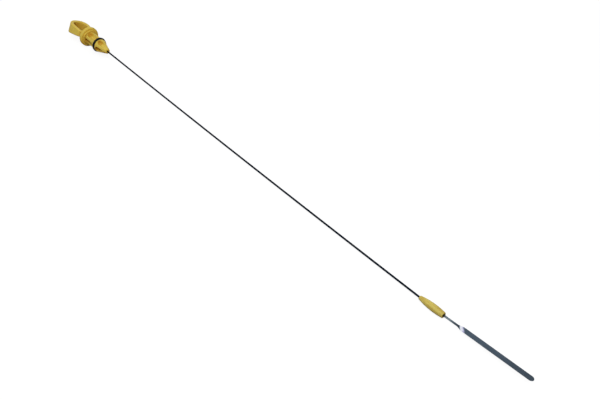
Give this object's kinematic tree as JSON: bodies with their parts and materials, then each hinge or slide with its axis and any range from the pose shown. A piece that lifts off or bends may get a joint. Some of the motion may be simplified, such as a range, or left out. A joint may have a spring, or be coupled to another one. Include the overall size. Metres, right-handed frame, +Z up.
{
  "type": "engine oil dipstick",
  "caption": "Engine oil dipstick: a steel wire pressed into a flat measuring blade, with a guide bead, and a moulded plug with a seal ring, a stop disc and a finger ring.",
  "frame": {"origin": "centre of the bounding box's base, on the surface that the stick lies on", "axes": "+X along the stick, from the finger ring to the blade's tip, and +Z up from the surface"},
  "size_m": [0.7592, 0.0296, 0.0257],
  "materials": {
    "handle": "satin as moulded",
    "o_ring": "oiled black",
    "wire_blade": "dark drawn wire, pressed bright at the ramp",
    "guide_bead": "satin as moulded"
  },
  "bodies": {
    "root": {"handle": "handle", "o_ring": "o_ring", "wire_blade": "wire_blade", "guide_bead": "guide_bead"}
  },
  "joints": []
}
